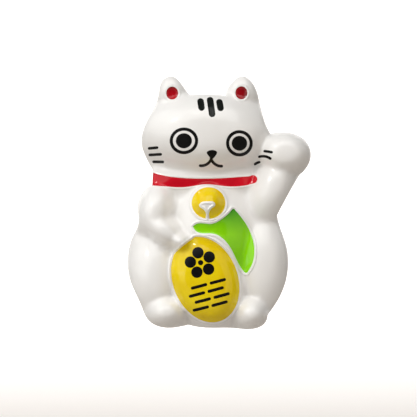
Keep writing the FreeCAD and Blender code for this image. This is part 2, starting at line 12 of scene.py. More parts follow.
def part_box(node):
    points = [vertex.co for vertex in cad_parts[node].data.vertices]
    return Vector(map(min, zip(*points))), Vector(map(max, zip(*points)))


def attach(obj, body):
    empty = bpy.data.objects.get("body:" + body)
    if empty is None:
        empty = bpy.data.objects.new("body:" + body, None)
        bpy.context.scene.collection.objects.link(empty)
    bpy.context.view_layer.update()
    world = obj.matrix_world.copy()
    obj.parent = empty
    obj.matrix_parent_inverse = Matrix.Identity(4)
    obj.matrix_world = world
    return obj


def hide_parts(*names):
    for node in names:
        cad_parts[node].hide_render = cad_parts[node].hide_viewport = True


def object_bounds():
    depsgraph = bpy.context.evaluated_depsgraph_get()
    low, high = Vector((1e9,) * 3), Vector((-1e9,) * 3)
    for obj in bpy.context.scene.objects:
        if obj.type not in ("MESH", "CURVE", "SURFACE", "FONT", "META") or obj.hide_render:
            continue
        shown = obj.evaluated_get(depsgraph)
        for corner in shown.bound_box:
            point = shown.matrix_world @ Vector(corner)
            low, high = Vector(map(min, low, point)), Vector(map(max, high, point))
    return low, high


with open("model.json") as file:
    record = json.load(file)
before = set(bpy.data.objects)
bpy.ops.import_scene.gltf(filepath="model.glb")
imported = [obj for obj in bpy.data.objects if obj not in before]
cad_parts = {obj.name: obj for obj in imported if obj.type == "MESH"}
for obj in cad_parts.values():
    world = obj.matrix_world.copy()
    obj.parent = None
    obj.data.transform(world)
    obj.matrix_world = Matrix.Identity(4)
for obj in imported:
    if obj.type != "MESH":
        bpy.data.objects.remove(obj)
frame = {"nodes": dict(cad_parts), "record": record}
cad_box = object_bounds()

# A white enamelled pin badge of a beckoning cat. The casting, enamels and prints that show are
# built here as fine meshes over the relief of the frame's solids; the post and clutch are the
# frame's own. Flat work is done in millimetres as (x, z) pairs, heights are millimetres in front
# of the badge's back plane, and a mesh is turned into metres when it is made.

MM = 0.001

TINY = 1e-12            # keeps a length or an area that is divided by from being nothing

# Reading the frame
WELD_DIGITS = 4         # corners that agree to this many decimals are one corner
UNDERSIDE = 0.3         # a face turned more than this to the back belongs to the underside
CORNER_TURN = 34        # an outline that turns by more degrees than this has a corner there,
CORNER_SIDE = 0.12      # if both of its sides are longer than this
CURVE_CUTS = 12         # how many parts a stretch of curve is cut into before it is evened out
SHORTEST = 1e-6         # shortest stretch of curve
FEWEST_STEPS = 3
OUTLINE_STEP = 0.10     # spacing of points on the casting's outline
CELL_STEP = 0.07        # and on a cell's
ON_EDGE = 0.02          # a cell's outline this near the casting's runs along its edge
CARRY = 0.5             # how far such an outline is carried on past the edge

# Flat work
BLOCK = 160             # how many points are measured at once
FAR = 50.0              # further than anything on the badge
NEAR = 0.1              # reach of the measure that tells which points are close to an outline
HAIR = 1e-9
FOLD = 0.93             # a ring's point nearer its loop than this share of the offset folds over
MERGE = 1e-5            # points this near each other become one when triangulated

# The relief
ENAMEL_SINK = 0.12      # how far the frame's enamel solids lie below the relief
RELIEF_STEP = 0.06      # spacing of the height map
RELIEF_MARGIN = 0.6
RAY_START = 20          # a height in front of everything
LACQUER = 0.14          # how far the enamel coat softens the relief, as a Gaussian radius
BLUR_REACH = 3          # where a Gaussian is cut off, in radii
LENT = ((1e-4, 6), (1e-8, 12))      # weight and radius, in steps, of heights lent past the rim
LEAST_WEIGHT = 1e-30
CLIMB_REACH = 6         # an enamel's climb is left out of account past this many reaches

# The casting
EDGE_ROUND = 0.42       # radius of the front edge
SIDE_RING = 0.9         # height of the ring at the top of the side wall
BACK_ROUND = 0.16       # size of the back edge's round,
BACK_BEND = 0.3         # and where its middle ring lies, as a share of that
BACK_RINGS = ((0.0, SIDE_RING), (0.0, BACK_ROUND),
              (BACK_BEND * BACK_ROUND, BACK_BEND * BACK_ROUND), (BACK_ROUND, 0.0))
SHEET_STEP = 0.125      # spacing of loose points on the front sheet
SHEET_CLEAR = 0.012     # how far they stay inside the outline
CELL_DEPTH = 0.30
WALL_FOOT = 0.02        # how far a cell's wall leans in on its way down
RECESS_POINTS = 72
WELD = 1e-8             # in metres
SHARP = 50              # an edge that turns by more degrees than this is shaded sharp

EDGE_RINGS = (0.015, 0.05, 0.10, 0.17, 0.25, 0.34, 0.45)
DAM_RINGS = (0.03, 0.07, 0.115, 0.16, 0.205, 0.25, 0.30, 0.36)

# The enamels
ENAMEL_STEP = 0.11      # spacing of loose points
ENAMEL_CLEAR = 0.02     # how far they stay inside the outline
ENAMEL_SHORT = 0.05     # room left between an enamel's underside and its cell's floor
ENAMEL_RINGS = (-0.03, -0.07, -0.12, -0.18, -0.26)
SKIN = 0.01             # an enamel at the casting's edge ends this far inside the edge
SKIN_NEAR = 0.5         # an enamel that comes this near the edge is cut by it
SKIN_CLEAR = 0.004

# The prints
INK = 0.014             # how far the ink stands above what it lies on
INK_RIM = 0.35          # share of that at the ink's rim
INK_ROUND = 0.03        # width over which the ink falls to its rim
FILM = 0.04             # thickness of the film's mesh
PRINT_STEP = 0.05       # spacing of points on a print's outline
PRINT_SHEET_STEP = 0.10
PRINT_CLEAR = 0.03

# Each enamel: how high and wide the wall round its cell stands, how deep the enamel lies in the
# middle, how far it climbs its walls and over what distance.
ENAMELS = {
    "collar_enamel": dict(dam=0.05, width=0.26, sink=0.10, climb=0.09, reach=0.16),
    "bell_enamel": dict(dam=0.13, width=0.32, sink=0.10, climb=0.09, reach=0.14),
    "bib_enamel": dict(dam=0.12, width=0.32, sink=0.11, climb=0.10, reach=0.16),
    "coin_enamel": dict(dam=0.13, width=0.32, sink=0.09, climb=0.08, reach=0.16),
    "ear_enamel_left": dict(dam=0.07, width=0.30, sink=0.26, climb=0.25, reach=0.26),
    "ear_enamel_right": dict(dam=0.07, width=0.30, sink=0.26, climb=0.25, reach=0.26),
    "forehead_stripe_left": dict(dam=0.0, width=0.20, sink=0.13, climb=0.12, reach=0.12),
    "forehead_stripe_middle": dict(dam=0.0, width=0.20, sink=0.13, climb=0.12, reach=0.12),
    "forehead_stripe_right": dict(dam=0.0, width=0.20, sink=0.13, climb=0.12, reach=0.12),
}
FACE_PRINTS = ("eye_ring_left", "eye_ring_right", "pupil_left", "pupil_right", "nose_and_mouth",
               "whiskers_left", "whiskers_right")
COIN_PRINT = "coin_print"
HARDWARE = ("tack_post", "solder_ring", "clutch_base", "clutch_wing_left", "clutch_wing_right")


# Reading the frame's solids

def triangles_of(node):
    """A node's welded corners in millimetres and its triangles."""
    mesh = frame["nodes"][node].data
    corners = np.empty(len(mesh.vertices) * 3)
    mesh.vertices.foreach_get("co", corners)
    corners = corners.reshape(-1, 3) / MM
    mesh.calc_loop_triangles()
    faces = np.empty(len(mesh.loop_triangles) * 3, int)
    mesh.loop_triangles.foreach_get("vertices", faces)
    _, first, welded = np.unique(np.round(corners, WELD_DIGITS), axis=0,
                                 return_index=True, return_inverse=True)
    return corners[first], welded.reshape(-1)[faces].reshape(-1, 3)


def outlines_of(node):
    """The closed (x, z) outlines where a straight-walled node's walls meet its underside."""
    corners, faces = triangles_of(node)
    sides = corners[faces]
    normals = np.cross(sides[:, 1] - sides[:, 0], sides[:, 2] - sides[:, 0])
    lengths = np.maximum(np.linalg.norm(normals, axis=1), TINY)
    under = normals[:, 1] / lengths > UNDERSIDE
    owners = {}
    for number, face in enumerate(faces):
        for a, b in ((face[0], face[1]), (face[1], face[2]), (face[2], face[0])):
            owners.setdefault((min(a, b), max(a, b)), []).append(number)
    neighbours = {}
    for (a, b), pair in owners.items():
        if len(pair) == 2 and under[pair[0]] != under[pair[1]]:
            neighbours.setdefault(a, []).append(b)
            neighbours.setdefault(b, []).append(a)
    return [corners[loop][:, [0, 2]] for loop in chain(neighbours)]


def chain(neighbours):
    """Walks a map from each point to its two neighbours into closed loops."""
    loops, seen = [], set()
    for start in neighbours:
        if start in seen:
            continue
        loop, here = [start], start
        seen.add(start)
        while True:
            ahead = [n for n in neighbours[here] if n not in seen]
            if not ahead:
                break
            here = ahead[0]
            seen.add(here)
            loop.append(here)
        loops.append(loop)
    return loops


def signed_area(loop):
    """A loop's area, positive where it runs anticlockwise."""
    x, z = loop[:, 0], loop[:, 1]
    return 0.5 * np.sum(x * np.roll(z, -1) - np.roll(x, -1) * z)


def smooth_loop(loop, step):
    """A closed outline redrawn as a smooth curve through its points, evenly spaced, corners kept."""
    if signed_area(loop) < 0:
        loop = loop[::-1]
    before = loop - np.roll(loop, 1, axis=0)
    after = np.roll(loop, -1, axis=0) - loop
    size_before, size_after = np.linalg.norm(before, axis=1), np.linalg.norm(after, axis=1)
    cosine = np.sum(before * after, axis=1) / np.maximum(size_before * size_after, TINY)
    turns = cosine < math.cos(math.radians(CORNER_TURN))
    sharp = turns & (np.minimum(size_before, size_after) > CORNER_SIDE)
    corners = np.flatnonzero(sharp)
    if len(corners) == 0:
        return even_curve(np.vstack([loop, loop[:1]]), step, closed=True)[:-1]
    pieces = []
    for start, end in zip(corners, np.roll(corners, -1)):
        count = (end - start) % len(loop) or len(loop)
        stretch = loop[(start + np.arange(count + 1)) % len(loop)]
        pieces.append(even_curve(stretch, step, closed=False)[:-1])
    return np.vstack(pieces)


def even_curve(points, step, closed):
    """A centripetal Catmull-Rom curve through the points, cut into even steps."""
    if closed:
        padded = np.vstack([points[-2], points, points[1]])
    else:
        padded = np.vstack([2 * points[0] - points[1], points, 2 * points[-1] - points[-2]])
    fine = []
    for p0, p1, p2, p3 in zip(padded, padded[1:], padded[2:], padded[3:]):
        t1 = max(np.linalg.norm(p1 - p0), SHORTEST) ** 0.5
        t2 = t1 + max(np.linalg.norm(p2 - p1), SHORTEST) ** 0.5
        t3 = t2 + max(np.linalg.norm(p3 - p2), SHORTEST) ** 0.5
        t = np.linspace(t1, t2, CURVE_CUTS, endpoint=False)[:, None]
        a1 = (t1 - t) / t1 * p0 + t / t1 * p1
        a2 = (t2 - t) / (t2 - t1) * p1 + (t - t1) / (t2 - t1) * p2
        a3 = (t3 - t) / (t3 - t2) * p2 + (t - t2) / (t3 - t2) * p3
        b1 = (t2 - t) / t2 * a1 + t / t2 * a2
        b2 = (t3 - t) / (t3 - t1) * a2 + (t - t1) / (t3 - t1) * a3
        fine.append((t2 - t) / (t2 - t1) * b1 + (t - t1) / (t2 - t1) * b2)
    fine = np.vstack(fine + [points[-1:]])
    travelled = np.concatenate([[0], np.cumsum(np.linalg.norm(np.diff(fine, axis=0), axis=1))])
    count = max(FEWEST_STEPS, math.ceil(travelled[-1] / step))
    stops = np.linspace(0, travelled[-1], count + 1)
    return np.column_stack([np.interp(stops, travelled, fine[:, axis]) for axis in (0, 1)])


def cell_outlines(enamel):
    """A cell's outlines; one that is open at the casting's edge is carried on past it."""
    loops = []
    for loop in outlines_of(enamel):
        loop = smooth_loop(loop, CELL_STEP)
        on_edge = distance_to(loop, [SILHOUETTE], NEAR) < ON_EDGE
        loop[on_edge, 0] += np.sign(loop[on_edge, 0]) * CARRY
        loops.append(loop)
    return loops


# Flat geometry

def segments_of(loops):
    """Where each of the loops' straight stretches starts and ends."""
    starts = np.vstack(loops)
    ends = np.vstack([np.roll(loop, -1, axis=0) for loop in loops])
    return starts, ends


def distance_to(points, loops, reach=FAR):
    """Each point's distance to the nearest stretch of any loop, or reach where that is less."""
    starts, ends = segments_of(loops)
    low, high = np.minimum(starts, ends) - reach, np.maximum(starts, ends) + reach
    result = np.full(len(points), float(reach))
    for first in range(0, len(points), BLOCK):
        block = points[first:first + BLOCK]
        near = np.all((low < block.max(0)) & (high > block.min(0)), axis=1)
        if not near.any():
            continue
        start, along = starts[near], (ends - starts)[near]
        squared = np.maximum(np.sum(along * along, axis=1), TINY)
        from_start = block[:, None, :] - start
        share = np.clip(np.sum(from_start * along, axis=2) / squared, 0, 1)
        gap = from_start - share[:, :, None] * along
        closest = np.sqrt(np.min(np.sum(gap * gap, axis=2), axis=1))
        result[first:first + BLOCK] = np.minimum(closest, reach)
    return result


def inside(points, loops):
    """Which points lie inside the loops, a loop within another being a hole."""
    starts, ends = segments_of(loops)
    low, high = np.minimum(starts, ends)[:, 1], np.maximum(starts, ends)[:, 1]
    result = np.zeros(len(points), bool)
    for first in range(0, len(points), BLOCK):
        x, z = points[first:first + BLOCK, None, 0], points[first:first + BLOCK, None, 1]
        near = (low < z.max() + HAIR) & (high > z.min() - HAIR) & (high > low)
        start, end = starts[near], ends[near]
        crosses = (start[:, 1] > z) != (end[:, 1] > z)
        meeting = start[:, 0] + (z - start[:, 1]) * (end[:, 0] - start[:, 0]) / (end[:, 1] - start[:, 1])
        result[first:first + BLOCK] = np.sum(crosses & (x < meeting), axis=1) % 2 == 1
    return result


def depth_inside(points, loops, reach):
    """Distance to the loops up to reach, positive inside them and negative outside."""
    gap = distance_to(points, loops, reach)
    return np.where(inside(points, loops), gap, -gap)


def offset(loop, out):
    """The loop moved outwards, or inwards where out is negative."""
    heading = np.roll(loop, -1, axis=0) - np.roll(loop, 1, axis=0)
    heading /= np.maximum(np.linalg.norm(heading, axis=1, keepdims=True), TINY)
    return loop + out * np.column_stack([heading[:, 1], -heading[:, 0]])


def rings(loops, offsets):
    """Loose points at set distances beside the loops, without the ones that fold over."""
    found = []
    for out in offsets:
        for loop in loops:
            ring = offset(loop, out)
            found.append(ring[distance_to(ring, loops, abs(out)) > FOLD * abs(out)])
    return np.vstack(found)


def lattice(loops, step):
    """A triangular lattice of points over the loops' box."""
    low, high = np.vstack(loops).min(0), np.vstack(loops).max(0)
    rows = np.arange(low[1], high[1], step * math.sqrt(0.75))
    columns = np.arange(low[0], high[0] + step, step)
    grid = [np.column_stack([columns + (step / 2 if i % 2 else 0), np.full(len(columns), row)])
            for i, row in enumerate(rows)]
    return np.vstack(grid)


def triangulate(loops, loose):
    """Delaunay triangles over the loops' points and the loose ones, with the loops as edges."""
    points, edges = [], []
    for loop in loops:
        first = len(points)
        points.extend(Vector(p) for p in loop)
        edges.extend((first + i, first + (i + 1) % len(loop)) for i in range(len(loop)))
    points.extend(Vector(p) for p in loose)
    made = delaunay_2d_cdt(points, edges, [], 0, MERGE)
    return np.array([v[:] for v in made[0]]), np.array(made[2])


def kept(points, faces, test):
    """The triangles whose centres pass the test, with the unused points dropped."""
    faces = faces[test(points[faces].mean(axis=1))]
    used, renumbered = np.unique(faces, return_inverse=True)
    return points[used], renumbered.reshape(-1, 3)


def free_edges(faces):
    """The edges that only one triangle uses, in that triangle's direction."""
    once = set()
    for a, b, c in faces.tolist():
        for edge in ((a, b), (b, c), (c, a)):
            if edge[::-1] in once:
                once.remove(edge[::-1])
            else:
                once.add(edge)
    return sorted(once)


def rim_of(points, faces):
    """A sheet's longest border as a loop of point numbers, anticlockwise."""
    neighbours = {}
    for a, b in free_edges(faces):
        neighbours.setdefault(a, []).append(b)
        neighbours.setdefault(b, []).append(a)
    rim = max(chain(neighbours), key=len)
    return rim if signed_area(points[rim]) > 0 else rim[::-1]


# The relief

def relief_map():
    """Heights of the frame's relief on a grid, softened as a thick coat of enamel softens it."""
    corners, faces, sinks = [], [], []
    for node, sink in [("body_casting", 0.0)] + [(enamel, ENAMEL_SINK) for enamel in ENAMELS]:
        points, triangles = triangles_of(node)
        faces.extend((triangles + len(corners)).tolist())
        corners.extend(points.tolist())
        sinks.extend([sink] * len(triangles))
    tree = BVHTree.FromPolygons(corners, faces)
    low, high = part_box("body_casting")
    first = np.array([low.x, low.z]) / MM - RELIEF_MARGIN
    last = np.array([high.x, high.z]) / MM + RELIEF_MARGIN
    columns = np.arange(first[0], last[0], RELIEF_STEP)
    rows = np.arange(first[1], last[1], RELIEF_STEP)
    heights = np.full((len(columns), len(rows)), np.nan)
    for i, x in enumerate(columns):
        for j, z in enumerate(rows):
            place, _, number, _ = tree.ray_cast((x, -RAY_START, z), (0, 1, 0))
            if place is not None:
                heights[i, j] = sinks[number] - place.y
    covered = ~np.isnan(heights)
    known, weights = np.where(covered, heights, 0), covered.astype(float)
    total = blurred(known, LACQUER / RELIEF_STEP)
    weight = blurred(weights, LACQUER / RELIEF_STEP)
    for share, radius in LENT:
        total = total + share * blurred(known, radius)
        weight = weight + share * blurred(weights, radius)
    return first, total / np.maximum(weight, LEAST_WEIGHT)


def blurred(grid, radius):
    """The grid under a Gaussian blur of the given radius in steps."""
    reach = math.ceil(BLUR_REACH * radius)
    weights = np.exp(-0.5 * (np.arange(-reach, reach + 1) / radius) ** 2)
    weights /= weights.sum()
    for axis in (0, 1):
        padding = [(reach, reach) if a == axis else (0, 0) for a in (0, 1)]
        padded = np.pad(grid, padding, mode="constant")
        length = grid.shape[axis]
        grid = sum(w * np.take(padded, range(k, k + length), axis=axis) for k, w in enumerate(weights))
    return grid


def base_height(points):
    """The softened relief's height at each point."""
    first, heights = RELIEF
    place = (points - first) / RELIEF_STEP
    limit = np.array(heights.shape) - 2
    cell = np.clip(np.floor(place).astype(int), 0, limit)
    part = np.clip(place - cell, 0, 1)
    i, j = cell[:, 0], cell[:, 1]
    u, v = part[:, 0], part[:, 1]
    return ((1 - u) * (1 - v) * heights[i, j] + u * (1 - v) * heights[i + 1, j]
            + (1 - u) * v * heights[i, j + 1] + u * v * heights[i + 1, j + 1])


def edge_drop(points):
    """How far the rounded front edge falls below the relief near the outline."""
    near = np.clip(1 - depth_inside(points, [SILHOUETTE], EDGE_ROUND) / EDGE_ROUND, 0, 1)
    return EDGE_ROUND * (1 - np.sqrt(np.maximum(0, 1 - near ** 2)))


def coat_height(points, drop):
    """The white surface outside the cells: relief, rounded edge and the walls round the cells."""
    height = base_height(points) - drop
    rise = np.zeros(len(points))
    for enamel, loop in CELLS.items():
        facts = ENAMELS[enamel]
        away = distance_to(points, loop, facts["width"])
        share = np.clip(away / facts["width"], 0, 1)
        rise = np.maximum(rise, facts["dam"] * np.sin(math.pi * share) ** 2)
    return height + rise


def enamel_height(enamel, points):
    """The surface of the enamel in a cell, which climbs its walls a little."""
    facts = ENAMELS[enamel]
    away = distance_to(points, CELLS[enamel], CLIMB_REACH * facts["reach"])
    climb = facts["climb"] * np.exp(-away / facts["reach"])
    return base_height(points) - edge_drop(points) - facts["sink"] + climb


# Meshes

def new_piece(name, points, faces, body="badge"):
    """A piece from corners in millimetres, smooth shaded but for its sharp edges."""
    mesh = bpy.data.meshes.new(name)
    mesh.from_pydata((np.asarray(points) * MM).tolist(), [], [list(map(int, face)) for face in faces])
    weld = bmesh.new()
    weld.from_mesh(mesh)
    bmesh.ops.remove_doubles(weld, verts=weld.verts, dist=WELD)
    bmesh.ops.recalc_face_normals(weld, faces=weld.faces)
    weld.to_mesh(mesh)
    weld.free()
    mesh.shade_smooth()
    mesh.set_sharp_from_angle(angle=math.radians(SHARP))
    piece = bpy.data.objects.new(name, mesh)
    bpy.context.scene.collection.objects.link(piece)
    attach(piece, body)
    return piece


def raised(points, heights):
    """Corners in space for flat points at the given heights."""
    return np.column_stack([points[:, 0], -heights, points[:, 1]])


def slab(points, faces, heights, thickness):
    """Closed corners and faces: a sheet at the given heights, its walls and its underside."""
    count = len(points)
    corners = np.vstack([raised(points, heights), raised(points, heights - thickness)])
    sides = [(a, b, b + count, a + count) for a, b in free_edges(faces)]
    flipped = [tuple(face[::-1] + count) for face in faces]
    return corners, [tuple(face) for face in faces] + sides + flipped


class Shell:
    """The corners and faces of a piece that is put together from several parts."""

    def __init__(self):
        self.corners = []
        self.faces = []
        self.count = 0

    def add(self, corners):
        """Adds corners and returns their numbers."""
        numbers = np.arange(self.count, self.count + len(corners))
        self.corners.append(corners)
        self.count += len(corners)
        return numbers

    def sheet(self, corners, triangles):
        """Adds corners with triangles among them."""
        numbers = self.add(corners)
        self.faces.extend(tuple(face) for face in numbers[triangles])

    def band(self, upper, lower):
        """Joins two closed rings of corner numbers that run side by side."""
        self.faces.extend(zip(upper, np.roll(upper, -1), np.roll(lower, -1), lower))

    def fan(self, ring, middle):
        """Joins a closed ring of corner numbers to one corner."""
        self.faces.extend((a, b, middle) for a, b in zip(ring, np.roll(ring, -1)))


def casting_front():
    """The front sheet's points, triangles and heights, down to the floors of the cells."""
    cells = [loop for loops in CELLS.values() for loop in loops]
    loose = np.vstack([
        rings([SILHOUETTE], [-ring for ring in EDGE_RINGS]),
        rings(cells, DAM_RINGS + (-WALL_FOOT,)),
        lattice([SILHOUETTE], SHEET_STEP)])
    loose = loose[depth_inside(loose, [SILHOUETTE], NEAR) > SHEET_CLEAR]
    points, faces = triangulate([SILHOUETTE] + cells, loose)
    points, faces = kept(points, faces, lambda p: inside(p, [SILHOUETTE]))
    drop = edge_drop(points)
    floor = depth_inside(points, cells, WALL_FOOT) > WALL_FOOT / 2
    heights = coat_height(points, drop)
    heights[floor] = base_height(points[floor]) - drop[floor] - CELL_DEPTH
    return points, faces, heights


def add_side(shell, rim, outline):
    """The side wall and the rounded back edge, from the front sheet's rim down to the back."""
    upper = np.array(rim)
    for inset, height in BACK_RINGS:
        lower = shell.add(raised(offset(outline, -inset), np.full(len(rim), height)))
        shell.band(upper, lower)
        upper = lower


def add_back(shell, outline):
    """The flat back and the round recess in it that the post's flange lies in."""
    recess = recess_circle()
    points, faces = triangulate([outline, recess], [])
    points, faces = kept(points, faces, lambda p: inside(p, [outline, recess]))
    shell.sheet(raised(points, np.zeros(len(points))), faces)
    depth = -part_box("tack_post")[0].y / MM
    mouth = shell.add(raised(recess, np.zeros(len(recess))))
    floor = shell.add(raised(recess, np.full(len(recess), depth)))
    middle = shell.add(np.array([[0, -depth, 0]]))[0]
    shell.band(mouth, floor)
    shell.fan(floor, middle)


def make_casting():
    """The white casting: front sheet with rounded edge and cell walls, side, back and recess."""
    shell = Shell()
    points, faces, heights = casting_front()
    shell.sheet(raised(points, heights), faces)
    rim = rim_of(points, faces)
    add_side(shell, rim, points[rim])
    add_back(shell, offset(points[rim], -BACK_ROUND))
    piece = new_piece("casting_white", np.vstack(shell.corners), shell.faces)
    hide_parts("body_casting")
    return piece


def recess_circle():
    """The recess in the back, as a circle round the post."""
    loops = sorted(outlines_of("body_casting"), key=lambda loop: abs(signed_area(loop)))
    radius = math.sqrt(abs(signed_area(loops[0])) / math.pi)
    angles = np.linspace(0, 2 * math.pi, RECESS_POINTS, endpoint=False)
    return np.column_stack([radius * np.cos(angles), radius * np.sin(angles)])


def clear_of(loose, loops, skin, skin_clear):
    """The loose points that lie well inside both an enamel's outlines and the casting's skin."""
    in_cell = depth_inside(loose, loops, NEAR) > ENAMEL_CLEAR
    return loose[in_cell & (depth_inside(loose, [skin], NEAR) > skin_clear)]


def make_enamel(enamel):
    """The enamel that fills a cell, out to its walls or to the casting's own edge."""
    loops = CELLS[enamel]
    skin = offset(SILHOUETTE, -SKIN)
    loose = np.vstack([rings(loops, ENAMEL_RINGS), lattice(loops, ENAMEL_STEP)])
    loose = clear_of(loose, loops, skin, ENAMEL_CLEAR)
    extra = []
    if distance_to(skin, loops).min() < SKIN_NEAR:
        loose = np.vstack([loose, rings([SILHOUETTE], [-ring for ring in EDGE_RINGS])])
        loose = clear_of(loose, loops, skin, SKIN_CLEAR)
        extra = [skin]
    points, faces = triangulate(loops + extra, loose)
    points, faces = kept(points, faces, lambda p: inside(p, loops) & inside(p, [skin]))
    corners, sides = slab(points, faces, enamel_height(enamel, points), CELL_DEPTH - ENAMEL_SHORT)
    piece = new_piece(enamel + "_fill", corners, sides)
    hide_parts(enamel)
    return piece


def make_print(node, height_of):
    """A film of ink that follows the surface under it."""
    loops = [smooth_loop(loop, PRINT_STEP) for loop in outlines_of(node)]
    loose = lattice(loops, PRINT_SHEET_STEP)
    loose = loose[depth_inside(loose, loops, NEAR) > PRINT_CLEAR]
    points, faces = triangulate(loops, loose)
    points, faces = kept(points, faces, lambda p: inside(p, loops))
    inward = np.clip(distance_to(points, loops, INK_ROUND) / INK_ROUND, 0, 1)
    heights = height_of(points) + INK * (INK_RIM + (1 - INK_RIM) * inward)
    corners, sides = slab(points, faces, heights, FILM)
    piece = new_piece(node + "_film", corners, sides)
    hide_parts(node)
    return piece


# Materials

BIB_DARK = 0.4          # how far down the bib its dark end reaches, as a share of its height
METAL_GRAIN = 900       # features to the metre
HARDWARE_BEVEL = 0.05
BEVEL_SEGMENTS = 2
BEVEL_TURN = 40         # an edge that turns by more degrees than this is rounded


class Nodes:
    """A small helper for building a Principled material."""

    def __init__(self, name):
        self.material = bpy.data.materials.new(name)
        self.material.use_nodes = True
        self.tree = self.material.node_tree
        self.shader = self.tree.nodes["Principled BSDF"]

    def add(self, kind, **settings):
        """A new node with the given properties."""
        node = self.tree.nodes.new(kind)
        for key, value in settings.items():
            setattr(node, key, value)
        return node

    def link(self, source, target):
        self.tree.links.new(source, target)

    def set(self, **values):
        """Sets the shader's own inputs, with _ for a space in their names."""
        for key, value in values.items():
            self.shader.inputs[key.replace("_", " ")].default_value = value

    def noise(self, scale, detail, stretch=(1, 1, 1)):
        """Noise fixed to the piece, in features to the metre along each axis."""
        place = self.add("ShaderNodeTexCoord")
        mapping = self.add("ShaderNodeMapping")
        mapping.inputs["Scale"].default_value = stretch
        self.link(place.outputs["Object"], mapping.inputs["Vector"])
        noise = self.add("ShaderNodeTexNoise")
        noise.inputs["Scale"].default_value = scale
        noise.inputs["Detail"].default_value = detail
        self.link(mapping.outputs["Vector"], noise.inputs["Vector"])
        return noise.outputs["Fac"]

    def spread(self, source, low, high, from_low=0.3, from_high=0.7):
        """Maps a value from one range on to another; noise mostly lies in the usual first range."""
        node = self.add("ShaderNodeMapRange")
        for key, value in (("From Min", from_low), ("From Max", from_high), ("To Min", low),
                           ("To Max", high)):
            node.inputs[key].default_value = value
        self.link(source, node.inputs["Value"])
        return node.outputs["Result"]

    def blend(self, share, first, second):
        """Mixes two colours; each is a colour or a socket."""
        node = self.add("ShaderNodeMix", data_type="RGBA")
        self.link(share, node.inputs["Factor"])
        for value, socket in ((first, node.inputs[6]), (second, node.inputs[7])):
            if isinstance(value, tuple):
                socket.default_value = (*value, 1)
            else:
                self.link(value, socket)
        return node.outputs[2]

    def bump(self, height, distance, before=None):
        """Bumps of the given height in metres, over earlier ones where there are any."""
        node = self.add("ShaderNodeBump")
        node.inputs["Strength"].default_value = 1.0
        node.inputs["Distance"].default_value = distance
        self.link(height, node.inputs["Height"])
        if before is not None:
            self.link(before, node.inputs["Normal"])
        return node.outputs["Normal"]

    def axis(self, name):
        """A point's place along one of the piece's axes."""
        place = self.add("ShaderNodeTexCoord")
        split = self.add("ShaderNodeSeparateXYZ")
        self.link(place.outputs["Object"], split.inputs["Vector"])
        return split.outputs[name]


def white_enamel():
    """Opaque enamel, glossy and faintly uneven."""
    m = Nodes("white_enamel")
    clouds = m.spread(m.noise(scale=260, detail=2), 0, 1)
    m.link(m.blend(clouds, (0.85, 0.84, 0.82), (0.82, 0.805, 0.78)), m.shader.inputs["Base Color"])
    m.link(m.spread(m.noise(scale=900, detail=3), 0.18, 0.26), m.shader.inputs["Roughness"])
    peel = m.bump(m.noise(scale=750, detail=2), distance=0.000006)
    fine = m.bump(m.noise(scale=4200, detail=2), distance=0.0000012, before=peel)
    m.link(fine, m.shader.inputs["Normal"])
    m.set(Specular_IOR_Level=0.35, Coat_Weight=0.35, Coat_Roughness=0.05)
    return m.material


def glazed(m, specular=0.3, coat=0.1):
    """Gives a coloured enamel its surface, and returns the finished material."""
    m.link(m.spread(m.noise(scale=900, detail=3), 0.07, 0.13), m.shader.inputs["Roughness"])
    m.link(m.bump(m.noise(scale=800, detail=2), distance=0.000005), m.shader.inputs["Normal"])
    m.set(Specular_IOR_Level=specular, Coat_Weight=coat, Coat_Roughness=0.04)
    return m.material


def colour_enamel(name, deep, clear, **surface):
    """Coloured enamel, cloudy between a deep and a clear tone."""
    m = Nodes(name)
    clouds = m.spread(m.noise(scale=420, detail=3), 0, 1)
    m.link(m.blend(clouds, deep, clear), m.shader.inputs["Base Color"])
    return glazed(m, **surface)


def green_enamel():
    """Dark at the collar end of the bib, bright from well above its lower tip."""
    m = Nodes("bib_green")
    low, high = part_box("bib_enamel")
    dark_from = high.z - BIB_DARK * (high.z - low.z)
    fall = m.spread(m.axis("Z"), 1.0, 0.0, dark_from, high.z)
    cloud = m.spread(m.noise(scale=380, detail=3), -0.12, 0.12)
    total = m.add("ShaderNodeMath", operation="ADD", use_clamp=True)
    m.link(fall, total.inputs[0])
    m.link(cloud, total.inputs[1])
    m.link(m.blend(total.outputs[0], (0.04, 0.30, 0.001), (0.26, 0.70, 0.002)),
           m.shader.inputs["Base Color"])
    return glazed(m)


def black_ink():
    """Printing ink, nearly matt."""
    m = Nodes("black_ink")
    m.link(m.blend(m.noise(scale=2500, detail=3), (0.001, 0.001, 0.001), (0.003, 0.003, 0.003)),
           m.shader.inputs["Base Color"])
    m.link(m.spread(m.noise(scale=3000, detail=3), 0.30, 0.42), m.shader.inputs["Roughness"])
    m.link(m.bump(m.noise(scale=3500, detail=2), distance=0.000002), m.shader.inputs["Normal"])
    m.set(Specular_IOR_Level=0.15)
    return m.material


def bright_metal(name, dark, light, rough, stretch=(1, 1, 1), grain=0.0000006):
    """A metal whose grain may be drawn out, finer along the axes of a large stretch."""
    m = Nodes(name)
    clouds = m.spread(m.noise(scale=350, detail=2), 0, 1)
    m.link(m.blend(clouds, dark, light), m.shader.inputs["Base Color"])
    m.link(m.spread(m.noise(METAL_GRAIN, 4, stretch), *rough), m.shader.inputs["Roughness"])
    m.link(m.bump(m.noise(3 * METAL_GRAIN, 3, stretch), grain), m.shader.inputs["Normal"])
    m.set(Metallic=1.0)
    return m.material


